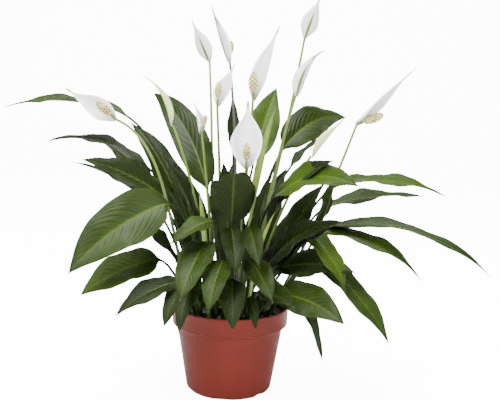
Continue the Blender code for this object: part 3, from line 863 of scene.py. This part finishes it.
# %% Spathe shape
SPATHE_WRAP = 72
SPATHE_OPENING = 0.3
TAIL_START = 0.84
TAIL_WIDTH = 0.24
SPATHE_EDGE = 0.35 * MM
SPATHE_WAVE = 0.05
SPATHE_THICKNESS = 0.7 * MM
SPATHE_RIBS = 9
SPATHE_RIB = 0.22 * MM
CLASP_GAP = 1.2 * MM
BLOOM_PHASE = 1.7


def spathe_outline(v):
    body = np.sin(math.pi * np.minimum(v / TAIL_START, 1) ** 0.75)
    tail = TAIL_WIDTH * v**4 * np.minimum((1 - v) / (1 - TAIL_START), 1)
    return np.maximum(body, 0) ** (0.85 + 0.5 * v) + tail


def sheet_depth(u, v, layer, half, seed):
    """How far the sheet's two faces stand towards the axis: thickness, ribs and a wavy margin."""
    thickness = SPATHE_THICKNESS - MARGIN_THINNING * np.abs(u) ** 3
    ribs = np.cos(SPATHE_RIBS * np.abs(u) ** 0.8 * math.pi)
    relief = SPATHE_RIB * ribs * np.abs(u) * smooth(half / (7 * MM))
    phase = 9 * v + seed + np.where(u > 0, 2.2, 0)
    wave = SPATHE_WAVE * half * np.abs(u) ** 3 * np.sin(phase) * smooth(v / 0.3)
    return layer * thickness / 2 + relief + wave


def build_spathe(name, bloom, seed):
    wrap = SCAPE_TOP_RADIUS + CLASP_GAP
    start = bloom.end - bloom.face * wrap
    spine = Spine(start, bloom.bearing, bloom.rise, bloom.droop, bloom.length)
    grid, faces = sheet(22, 60)
    u, v, layer = grid.T
    clasp = math.radians(SPATHE_WRAP) * wrap * (1 - v)
    half = np.maximum(np.maximum(bloom.half_width * spathe_outline(v), clasp), SPATHE_EDGE)
    margin = SPATHE_WRAP + (bloom.cup - SPATHE_WRAP) * smooth(v / SPATHE_OPENING)
    bend_radius = half / np.radians(margin)
    angle = np.radians(margin) * u
    reach = bend_radius - sheet_depth(u, v, layer, half, seed)
    centre, _, side, up = spine.at(v)
    side, up = turned(side, up, bloom.roll)
    sideways = reach * np.sin(angle)
    raised = bend_radius - reach * np.cos(angle)
    points = centre + side * sideways[:, None] + up * raised[:, None]
    closed = bloom.spadix == 0
    part = Part()
    part.add(points, faces, np.stack([(u + 1) / 2, v], axis=1), across=np.abs(u), blade=v,
             upper=(layer > 0) * 1.0, green=bloom.green, young=float(closed))
    part.build(f"bract_{name}", f"spathe_{name}", SPATHE)


for number, (name, bloom) in enumerate(blooms.items()):
    build_spathe(name, bloom, BLOOM_PHASE * number)
print(len(blooms), "spathes")

# %% [markdown]
# ## Spadices
#
# The spadix is a blunt spike packed with flowers a few millimetres across. They stand in a diamond
# pattern, which comes from the product of two waves that wind round the spike in opposite ways. The
# points swell at each flower, the same product darkens the gaps between them as painted shade, and ripe
# flowers carry a brown mark.

# %% Spadices
FLOWERS_ROUND = 6
FLOWER_ROW = 4.4 * MM
RIPE = {"front": 1.0, "far_left": 1.0, "far_right": 0.8, "centre_small": 0.9, "centre_dark": 0.9}
BARELY_RIPE = 0.15
SPADIX_GIRTH = 0.23


def spadix_material():
    made, tree, shader = new_material("spadix", Roughness=0.6)
    flower, ripe = tree.value("flower"), tree.value("ripe")
    speckle = tree.noise(900.0, 2.0)
    patch = tree.noise(260.0, 2.0)
    # Painted shade: the gaps between the flowers, and both ends of the spike, are coloured dark.
    flesh_with_gap_shade = tree.mix(tree.ramp(flower, 0.0, 0.14), colour(84, 76, 34), colour(214, 200, 132))
    crown = tree.math("MULTIPLY", tree.ramp(flower, 0.35, 0.8), patch)
    flesh_with_gap_shade = tree.mix(crown, flesh_with_gap_shade, colour(244, 236, 196))
    marked = tree.math("MULTIPLY", tree.ramp(flower, 0.35, 0.5), tree.ramp(patch, 0.44, 0.5))
    final = tree.mix(tree.math("MULTIPLY", marked, ripe), flesh_with_gap_shade, colour(46, 24, 14))
    tree.join(shader, Base_Color=final)
    bump = tree.node("ShaderNodeBump", 0, Strength=0.4, Distance=0.0002, Height=speckle)
    tree.join(shader, Normal=bump)
    return made


SPADIX = spadix_material()


def build_spadix(name, bloom):
    grid, faces = ball(72, 72)
    polar = np.arccos(np.clip(grid[:, 2], -1, 1))
    around = np.arctan2(grid[:, 1], grid[:, 0])
    rows = round(bloom.spadix / FLOWER_ROW)
    winding = math.pi * rows * (1 - polar / math.pi)
    turning = FLOWERS_ROUND / 2 * around
    flower = (np.cos(turning + winding) * np.cos(turning - winding)) ** 2 * smooth(np.sin(polar) / 0.3)
    radius = bloom.spadix * SPADIX_GIRTH * np.sin(polar) ** 0.42 * (0.76 + 0.33 * np.sqrt(flower))
    side, other = square_to(bloom.spike, (0.2, 0.9, 0.4))
    base = bloom.end + bloom.spike * (STIPE_LENGTH + STIPE_GAP)
    outward = side * np.cos(around)[:, None] + other * np.sin(around)[:, None]
    height = bloom.spadix * (1 - polar / math.pi)
    points = base + bloom.spike * height[:, None] + outward * radius[:, None]
    part = Part()
    uv = np.stack([np.abs(around) / math.pi, polar / math.pi], axis=1)
    part.add(points, faces, uv, flower=flower, ripe=RIPE.get(name, BARELY_RIPE))
    part.build(f"flowers_{name}", f"spadix_{name}", SPADIX, sharp=80)


for name, bloom in blooms.items():
    if bloom.spadix:
        build_spadix(name, bloom)
print(sum(bloom.spadix > 0 for bloom in blooms.values()), "spadices")

# %% [markdown]
# ## The pot
#
# A nursery pot is a thin tapered shell of coloured plastic, with a collar under its rim that stiffens
# it. It is a profile turned round the axis, from the middle of the floor, up the inside, over the rim
# and down the outside. Rounded corners in the profile catch the light as moulded plastic does.

# %% Pot profile
POT_HEIGHT = 98 * MM
RIM_RADIUS = 65 * MM
COLLAR_BASE = POT_HEIGHT - 21 * MM
NECK_RADIUS = 58 * MM
FOOT_RADIUS = 48 * MM
FOOT_ROUND = 8 * MM
POT_WALL = 1.4 * MM
FLOOR = 1.6 * MM
POT_STEPS = 144


def arc(x, z, radius, first, last, count):
    angles = [math.radians(first + (last - first) * i / count) for i in range(count + 1)]
    return [(x + radius * math.cos(a), z + radius * math.sin(a)) for a in angles]


def pot_profile():
    """Points of the shell from the middle of the floor, up inside, over the rim and down outside."""
    inside = [
        (0, FLOOR),
        (FOOT_RADIUS - FOOT_ROUND + 1 * MM, FLOOR),
        (FOOT_RADIUS - POT_WALL, FOOT_ROUND),
        (NECK_RADIUS - POT_WALL, COLLAR_BASE - 6 * MM),
        (RIM_RADIUS - 2.8 * MM, COLLAR_BASE + 2 * MM),
        (RIM_RADIUS - POT_WALL, POT_HEIGHT - 1 * MM),
    ]
    rim = arc(RIM_RADIUS - POT_WALL / 2, POT_HEIGHT - POT_WALL / 2, POT_WALL / 2, 170, 0, 8)
    collar = [
        (RIM_RADIUS - 0.05 * MM, POT_HEIGHT - 3 * MM),
        (RIM_RADIUS - 0.35 * MM, POT_HEIGHT - 3.6 * MM),
        (RIM_RADIUS - 0.7 * MM, COLLAR_BASE + 3 * MM),
    ]
    lip = arc(RIM_RADIUS - 2.0 * MM, COLLAR_BASE + 1.4 * MM, 1.2 * MM, 10, -60, 6)
    step = [
        (NECK_RADIUS + 3.2 * MM, COLLAR_BASE - 0.6 * MM),
        (NECK_RADIUS + 1.4 * MM, COLLAR_BASE - 1.9 * MM),
        (NECK_RADIUS + 0.4 * MM, COLLAR_BASE - 4 * MM),
        (NECK_RADIUS, COLLAR_BASE - 8 * MM),
    ]
    foot = arc(FOOT_RADIUS - FOOT_ROUND, FOOT_ROUND, FOOT_ROUND, -4, -90, 12)
    return inside + rim + collar + lip + step + foot + [(0, 0)]


def turned_mesh(profile, steps):
    bm = bmesh.new()
    corners = [bm.verts.new((x, 0, z)) for x, z in profile]
    edges = [bm.edges.new(pair) for pair in zip(corners, corners[1:])]
    bmesh.ops.spin(bm, geom=corners + edges, cent=(0, 0, 0), axis=(0, 0, 1), angle=2 * math.pi,
                   steps=steps, use_merge=True)
    bmesh.ops.remove_doubles(bm, verts=bm.verts[:], dist=0.02 * MM)
    bmesh.ops.recalc_face_normals(bm, faces=bm.faces[:])
    return bm


print("pot profile of", len(pot_profile()), "points")

# %% [markdown]
# ## The pot's plastic
#
# The plastic is dull terracotta, with faint streaks and scuffs, and some dust. The inner wall is painted
# much darker as shade, and is told apart by a value stored on its points.

# %% Pot plastic


def pot_material():
    made, tree, shader = new_material("terracotta plastic", IOR=1.48, Specular_IOR_Level=0.12)
    scuff = tree.noise(70.0, 5.0, 0.65)
    streak = tree.group(STREAKS, Across=60.0, Along=9.0)["Streak"]
    share = tree.math("MULTIPLY_ADD", scuff, 0.45, tree.math("MULTIPLY", streak, 0.55))
    body = tree.mix(share, colour(77, 22, 13), colour(89, 29, 18))
    dust = tree.ramp(tree.noise(260.0, 4.0), 0.66, 0.78, 0.0, 0.35)
    dusty = tree.mix(dust, body, colour(104, 44, 30))
    # Painted shade: the inner wall is coloured almost black, mottled by the scuffs.
    painted_inner_shade = tree.math("MULTIPLY", tree.value("inner"), tree.ramp(scuff, 0.25, 0.55, 0.8, 0.95))
    tree.join(shader, Base_Color=tree.mix(painted_inner_shade, dusty, colour(22, 13, 9)))
    tree.join(shader, Roughness=tree.math("MULTIPLY_ADD", scuff, 0.2, 0.42))
    height = tree.math("MULTIPLY_ADD", streak, 0.5, tree.noise(900.0, 2.0))
    bump = tree.node("ShaderNodeBump", 0, Strength=0.16, Distance=0.0003, Height=height)
    tree.join(shader, Normal=bump)
    return made


POT_PLASTIC = pot_material()
print("pot plastic with", len(POT_PLASTIC.node_tree.nodes), "nodes")

# %% [markdown]
# ## Drain notches and the finished pot
#
# Notches in the foot let water out. Boxes stand round the foot where they belong, and one Boolean cuts
# them all from the turned shell.

# %% Pot
DRAIN_NOTCHES = 6
FIRST_NOTCH = 263
NOTCH = (12 * MM, 17 * MM, 8 * MM)


def notch_boxes():
    """One mesh of boxes, set round the foot where the water runs out."""
    bm = bmesh.new()
    for i in range(DRAIN_NOTCHES):
        bearing = FIRST_NOTCH + i * 360 / DRAIN_NOTCHES
        spot = Vector(place(FOOT_RADIUS / MM - 2, bearing, 0))
        matrix = Matrix.Translation(spot) @ Matrix.Rotation(math.radians(bearing), 4, "Z")
        bmesh.ops.create_cube(bm, size=1, matrix=matrix @ Matrix.Diagonal((*NOTCH, 1)))
    boxes = bpy.data.meshes.new("notches")
    bm.to_mesh(boxes)
    bm.free()
    return boxes


def cut_notches(shell):
    cutter = bpy.data.objects.new("notches", notch_boxes())
    bpy.context.scene.collection.objects.link(cutter)
    cut = shell.modifiers.new("Notches", "BOOLEAN")
    cut.operation = "DIFFERENCE"
    cut.object = cutter
    graph = bpy.context.evaluated_depsgraph_get()
    shell.data = bpy.data.meshes.new_from_object(shell.evaluated_get(graph))
    shell.modifiers.clear()
    bpy.data.objects.remove(cutter)


def mark_inner_wall(shell):
    """Store 1 on the points that face the axis, where the plastic is painted dark as shade."""
    inner = shell.data.attributes.new("inner", "FLOAT", "POINT")
    for vert, item in zip(shell.data.vertices, inner.data):
        outward = vert.normal.xy.dot(vert.co.xy)
        item.value = float(outward < -0.4 * vert.co.xy.length)


def build_pot():
    bm = turned_mesh(pot_profile(), POT_STEPS)
    mesh = bpy.data.meshes.new("pot_shell")
    bm.to_mesh(mesh)
    bm.free()
    shell = dress("pot_shell", mesh, "pot", POT_PLASTIC, sharp=32)
    cut_notches(shell)
    mark_inner_wall(shell)
    return shell


pot = build_pot()
print("pot with", len(pot.data.polygons), "faces")

# %% [markdown]
# ## The soil
#
# The soil is dark moist peat. Its body fills the pot, its top is raised and lowered by noise of two
# sizes, and loose crumbs are sunk half way into it.

# %% Soil
SOIL_INSET = 1.8 * MM
SOIL_BASE = 2.2 * MM
SOIL_EDGE = NECK_RADIUS + 1.2 * MM
SOIL_RINGS = 34
SOIL_STEPS = 96
CRUMBS = 240
CRUMB_SPREAD = 56
LUMP_HEIGHT = 1.1 * MM
GRIT_HEIGHT = 0.6 * MM


def soil_material():
    made, tree, shader = new_material("moist peat", Roughness=0.95)
    grain = tree.noise(420.0, 6.0, 0.7)
    base = tree.mix(tree.ramp(grain, 0.3, 0.7), colour(10, 8, 6), colour(34, 26, 20))
    fibre = tree.ramp(tree.noise(900.0, 3.0), 0.64, 0.72)
    fibrous = tree.mix(tree.math("MULTIPLY", fibre, 0.6), base, colour(72, 56, 40))
    tree.join(shader, Base_Color=fibrous)
    bump = tree.node("ShaderNodeBump", 0, Strength=0.9, Distance=0.0012, Height=grain)
    tree.join(shader, Normal=bump)
    return made


def soil_profile():
    """Points of the soil from the middle of its top, out to its edge and down to its base."""
    top = [(SOIL_EDGE * i / SOIL_RINGS, SOIL_TOP) for i in range(SOIL_RINGS)]
    wall = [
        (SOIL_EDGE, SOIL_TOP - 1.5 * MM),
        (NECK_RADIUS - SOIL_INSET, COLLAR_BASE - 6 * MM),
        (FOOT_RADIUS - SOIL_INSET, FOOT_ROUND),
        (FOOT_RADIUS - FOOT_ROUND, SOIL_BASE),
        (0, SOIL_BASE),
    ]
    return top + wall


def add_crumbs(bm):
    rng = np.random.default_rng(7)
    for _ in range(CRUMBS):
        distance, bearing = CRUMB_SPREAD * math.sqrt(rng.random()), 360 * rng.random()
        size = rng.uniform(0.8, 2.0) * MM
        spot = Vector(place(distance, bearing, SOIL_TOP + 0.2 * size))
        squash = Matrix.Diagonal((size * rng.uniform(0.8, 1.4), size, size * rng.uniform(0.6, 0.9), 1))
        turn = Matrix.Rotation(rng.uniform(0, math.pi), 4, "Z")
        bmesh.ops.create_uvsphere(bm, u_segments=7, v_segments=5, radius=1,
                                  matrix=Matrix.Translation(spot) @ turn @ squash)


def roughen_top(bm):
    for vert in bm.verts:
        if vert.co.z > SOIL_TOP - 1 * MM and vert.co.xy.length < SOIL_EDGE - 1 * MM:
            lumps = LUMP_HEIGHT * noise.noise(vert.co * 90)
            vert.co.z += lumps + GRIT_HEIGHT * noise.noise(vert.co * 420)


def build_soil():
    bm = turned_mesh(soil_profile(), SOIL_STEPS)
    add_crumbs(bm)
    roughen_top(bm)
    mesh = bpy.data.meshes.new("peat")
    bm.to_mesh(mesh)
    bm.free()
    return dress("peat", mesh, "soil", soil_material(), sharp=80)


soil = build_soil()
print("soil with", len(soil.data.polygons), "faces")

# %% [markdown]
# ## The backdrop
#
# The pot stands on a pale floor that curves up into a pale wall, so there is no horizon behind the
# plant. The paper glows for the camera only, so that it looks white and throws no extra light.

# %% Backdrop
BACKDROP_GLOW = 11.0
WALL_BEND = 0.8


def paper_material():
    """White paper that glows for the camera only."""
    made, tree, shader = new_material("paper backdrop", Roughness=0.9, Emission_Color=(1, 1, 1, 1))
    paper = tree.mix(tree.noise(6.0, 4.0), colour(250, 250, 250), colour(253, 253, 253))
    tree.join(shader, Base_Color=paper)
    seen = tree.node("ShaderNodeLightPath", "Is Camera Ray")
    tree.join(shader, Emission_Strength=tree.math("MULTIPLY", seen, BACKDROP_GLOW))
    return made


def build_backdrop():
    quarter = np.linspace(0, math.pi / 2, 16)
    bend = [(1.6 + WALL_BEND * math.sin(a), WALL_BEND * (1 - math.cos(a))) for a in quarter]
    profile = [(-3.0, 0), *bend, (2.4, 3.5)]
    bm = bmesh.new()
    corners = [bm.verts.new((-4, y, z)) for y, z in profile]
    edges = [bm.edges.new(pair) for pair in zip(corners, corners[1:])]
    made = bmesh.ops.extrude_edge_only(bm, edges=edges)["geom"]
    moved = [item for item in made if isinstance(item, bmesh.types.BMVert)]
    bmesh.ops.translate(bm, verts=moved, vec=(8, 0, 0))
    bmesh.ops.recalc_face_normals(bm, faces=bm.faces[:])
    mesh = bpy.data.meshes.new("backdrop")
    bm.to_mesh(mesh)
    bm.free()
    mesh.shade_smooth()
    mesh.materials.append(paper_material())
    obj = bpy.data.objects.new("backdrop", mesh)
    bpy.context.scene.collection.objects.link(obj)


build_backdrop()
print("backdrop ready")

# %% [markdown]
# ## Light and camera
#
# A large soft light hangs high in front on the left, a weaker one fills from the right, a third hangs
# above, and the pale surroundings light the rest. The camera looks slightly down on the plant from the
# front, through a long lens, and is tilted a little to one side.

# %% Light and camera
CAMERA_SPOT = (0.0188, -1.2, 0.425)
CAMERA_PITCH = 9.85
CAMERA_ROLL = 1.56
LENS = 79.56
SURROUNDINGS = 0.18

# Each light: where it hangs, what it points at, the side of its square in metres, and its power.
LIGHTS = {
    "key": ((-0.9, -1.2, 1.7), (0, 0, 0.22), 0.8, 108),
    "fill": ((1.5, -1.3, 0.8), (0, 0, 0.2), 1.0, 42),
    "top": ((0.0, -0.1, 1.8), (0, 0, 0.2), 1.0, 105),
}


def soft_light(name, spot, target, size, power):
    data = bpy.data.lights.new(name, "AREA")
    data.shape = "SQUARE"
    data.size = size
    data.energy = power
    obj = bpy.data.objects.new(name, data)
    obj.location = spot
    obj.rotation_euler = (Vector(target) - Vector(spot)).to_track_quat("-Z", "Y").to_euler()
    bpy.context.scene.collection.objects.link(obj)


def build_surroundings():
    world = bpy.data.worlds.new("studio")
    world.use_nodes = True
    background = world.node_tree.nodes["Background"]
    background.inputs["Color"].default_value = (1, 1, 1, 1)
    background.inputs["Strength"].default_value = SURROUNDINGS
    bpy.context.scene.world = world


def build_camera():
    pitch, roll = math.radians(CAMERA_PITCH), math.radians(CAMERA_ROLL)
    back = Vector((0, -math.cos(pitch), math.sin(pitch)))
    right = Vector((1, 0, 0))
    up = back.cross(right)
    side = right * math.cos(roll) + up * math.sin(roll)
    top = up * math.cos(roll) - right * math.sin(roll)
    data = bpy.data.cameras.new("camera")
    data.sensor_width = 36
    data.lens = LENS
    obj = bpy.data.objects.new("camera", data)
    turn = Matrix((side, top, back)).transposed().to_4x4()
    obj.matrix_world = Matrix.Translation(CAMERA_SPOT) @ turn
    bpy.context.scene.collection.objects.link(obj)
    bpy.context.scene.camera = obj


for name, (spot, target, size, power) in LIGHTS.items():
    soft_light(name, spot, target, size, power)
build_surroundings()
build_camera()
print("studio with", len(LIGHTS), "lights")
